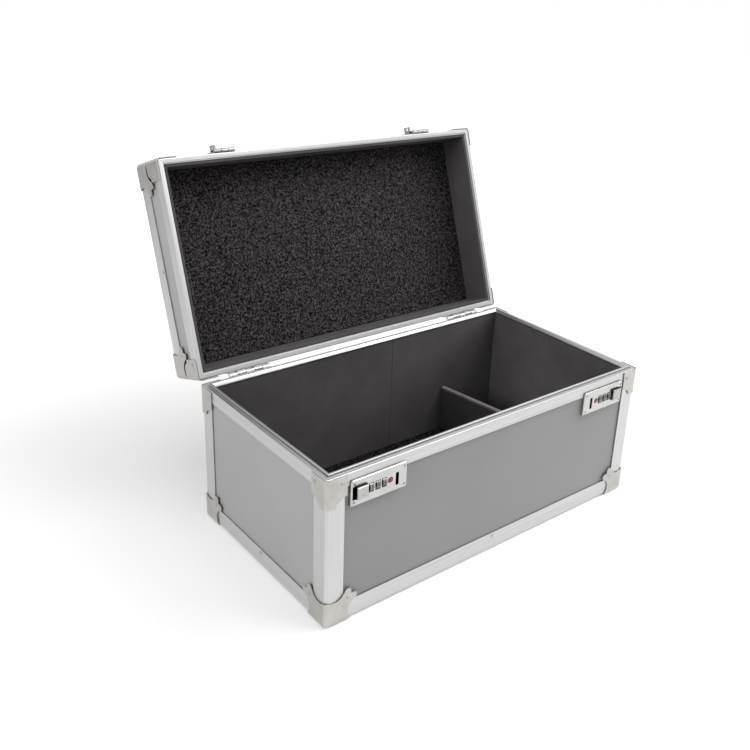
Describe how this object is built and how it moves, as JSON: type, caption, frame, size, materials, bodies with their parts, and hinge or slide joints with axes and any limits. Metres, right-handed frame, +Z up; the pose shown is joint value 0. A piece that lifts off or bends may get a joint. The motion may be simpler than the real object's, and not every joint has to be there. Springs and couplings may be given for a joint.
{
  "type": "camera hard case",
  "caption": "Rectangular aluminium-framed camera hard case with a hinged lid, combination locks with hasps, pressed corner caps, padded lining, a divider and a swinging handle.",
  "frame": {"origin": "centre of the flat field of the bottom board, on its underside", "axes": "+X towards the right end of the case, +Y towards the hinges at the rear, +Z up; the locks face -Y"},
  "size_m": [0.4318, 0.3704, 0.3869],
  "materials": {
    "panel_grey": "satin laminate with a fine grain",
    "rail_aluminium": "satin anodised, brushed lengthways",
    "cap_steel": "satin nickel-plated pressed steel",
    "hardware_chrome": "polished chrome plate",
    "wheel_metal": "satin plated, with filled figures",
    "indicator_red": "glossy red bead",
    "lining_felt": "short flocked pile",
    "sponge_foam": "open-cell sponge",
    "grip_black": "moulded, matt"
  },
  "bodies": {
    "base": {"base_bottom_panel": "panel_grey", "base_front_panel": "panel_grey", "base_rear_panel": "panel_grey", "base_left_panel": "panel_grey", "base_right_panel": "panel_grey", "base_bottom_frame": "rail_aluminium", "base_rim_frame": "rail_aluminium", "base_corner_rail_front_left": "rail_aluminium", "base_corner_rail_front_right": "rail_aluminium", "base_corner_rail_rear_left": "rail_aluminium", "base_corner_rail_rear_right": "rail_aluminium", "base_corner_cap_front_left": "cap_steel", "base_corner_cap_front_right": "cap_steel", "base_corner_cap_rear_left": "cap_steel", "base_corner_cap_rear_right": "cap_steel", "base_rim_plate_front_left": "cap_steel", "base_rim_plate_front_right": "cap_steel", "base_rim_plate_rear_left": "cap_steel", "base_rim_plate_rear_right": "cap_steel", "lock_housing_left": "hardware_chrome", "lock_housing_right": "hardware_chrome", "hinge_base_leaf_left": "hardware_chrome", "hinge_base_leaf_right": "hardware_chrome", "lock_indicator_left": "indicator_red", "lock_indicator_right": "indicator_red", "base_wall_lining": "lining_felt", "base_floor_sponge": "sponge_foam"},
    "lid": {"lid_top_panel": "panel_grey", "lid_wall_frame": "panel_grey", "lid_top_frame": "rail_aluminium", "lid_rim_frame": "rail_aluminium", "lid_corner_cap_front_left": "cap_steel", "lid_corner_cap_front_right": "cap_steel", "lid_corner_cap_rear_left": "cap_steel", "lid_corner_cap_rear_right": "cap_steel", "lid_rim_plate_front_left": "cap_steel", "lid_rim_plate_front_right": "cap_steel", "lid_rim_plate_rear_left": "cap_steel", "lid_rim_plate_rear_right": "cap_steel", "hinge_lid_leaf_left": "hardware_chrome", "hinge_lid_leaf_right": "hardware_chrome", "hasp_mount_left": "hardware_chrome", "hasp_mount_right": "hardware_chrome", "handle_bracket_left": "hardware_chrome", "handle_bracket_right": "hardware_chrome", "lid_wall_lining": "lining_felt", "lid_sponge": "sponge_foam"},
    "divider": {"divider": "lining_felt"},
    "handle": {"handle_grip": "grip_black"},
    "hasp_left": {"hasp_flap_left": "hardware_chrome"},
    "button_left": {"lock_button_left": "hardware_chrome"},
    "hasp_right": {"hasp_flap_right": "hardware_chrome"},
    "button_right": {"lock_button_right": "hardware_chrome"},
    "wheel_left_1": {"number_wheel_left_1": "wheel_metal"},
    "wheel_left_2": {"number_wheel_left_2": "wheel_metal"},
    "wheel_left_3": {"number_wheel_left_3": "wheel_metal"},
    "wheel_right_1": {"number_wheel_right_1": "wheel_metal"},
    "wheel_right_2": {"number_wheel_right_2": "wheel_metal"},
    "wheel_right_3": {"number_wheel_right_3": "wheel_metal"}
  },
  "joints": [
    {"name": "lid_hinge", "type": "hinge", "parent": "base", "child": "lid", "pos_m": [0, 0.1192, 0.15755], "axis": [-1, 0, 0], "range_deg": [-108.6, 0]},
    {"name": "handle_swing", "type": "hinge", "parent": "lid", "child": "handle", "pos_m": [0, 0.21793, 0.2501], "axis": [1, 0, 0], "range_deg": [-18.6, 161.4]},
    {"name": "divider_lift", "type": "slide", "parent": "base", "child": "divider", "axis": [0, 0, 1], "range_m": [0, 0.15]},
    {"name": "hasp_left_hinge", "type": "hinge", "parent": "lid", "child": "hasp_left", "pos_m": [-0.1362, 0.19762, 0.38196], "axis": [-1, 0, 0], "range_deg": [-178.13, 0]},
    {"name": "button_left_slide", "type": "slide", "parent": "base", "child": "button_left", "axis": [-1, 0, 0], "range_m": [0, 0.003], "stiffness_N_per_m": 300},
    {"name": "wheel_left_1_spin", "type": "hinge", "parent": "base", "child": "wheel_left_1", "pos_m": [-0.1659, -0.1148, 0.1358], "axis": [1, 0, 0], "continuous": true},
    {"name": "wheel_left_2_spin", "type": "hinge", "parent": "base", "child": "wheel_left_2", "pos_m": [-0.1585, -0.1148, 0.1358], "axis": [1, 0, 0], "continuous": true},
    {"name": "wheel_left_3_spin", "type": "hinge", "parent": "base", "child": "wheel_left_3", "pos_m": [-0.1511, -0.1148, 0.1358], "axis": [1, 0, 0], "continuous": true},
    {"name": "hasp_right_hinge", "type": "hinge", "parent": "lid", "child": "hasp_right", "pos_m": [0.1362, 0.19762, 0.38196], "axis": [-1, 0, 0], "range_deg": [-178.13, 0]},
    {"name": "button_right_slide", "type": "slide", "parent": "base", "child": "button_right", "axis": [1, 0, 0], "range_m": [0, 0.003], "stiffness_N_per_m": 300},
    {"name": "wheel_right_1_spin", "type": "hinge", "parent": "base", "child": "wheel_right_1", "pos_m": [0.1659, -0.1148, 0.1358], "axis": [1, 0, 0], "continuous": true},
    {"name": "wheel_right_2_spin", "type": "hinge", "parent": "base", "child": "wheel_right_2", "pos_m": [0.1585, -0.1148, 0.1358], "axis": [1, 0, 0], "continuous": true},
    {"name": "wheel_right_3_spin", "type": "hinge", "parent": "base", "child": "wheel_right_3", "pos_m": [0.1511, -0.1148, 0.1358], "axis": [1, 0, 0], "continuous": true}
  ]
}
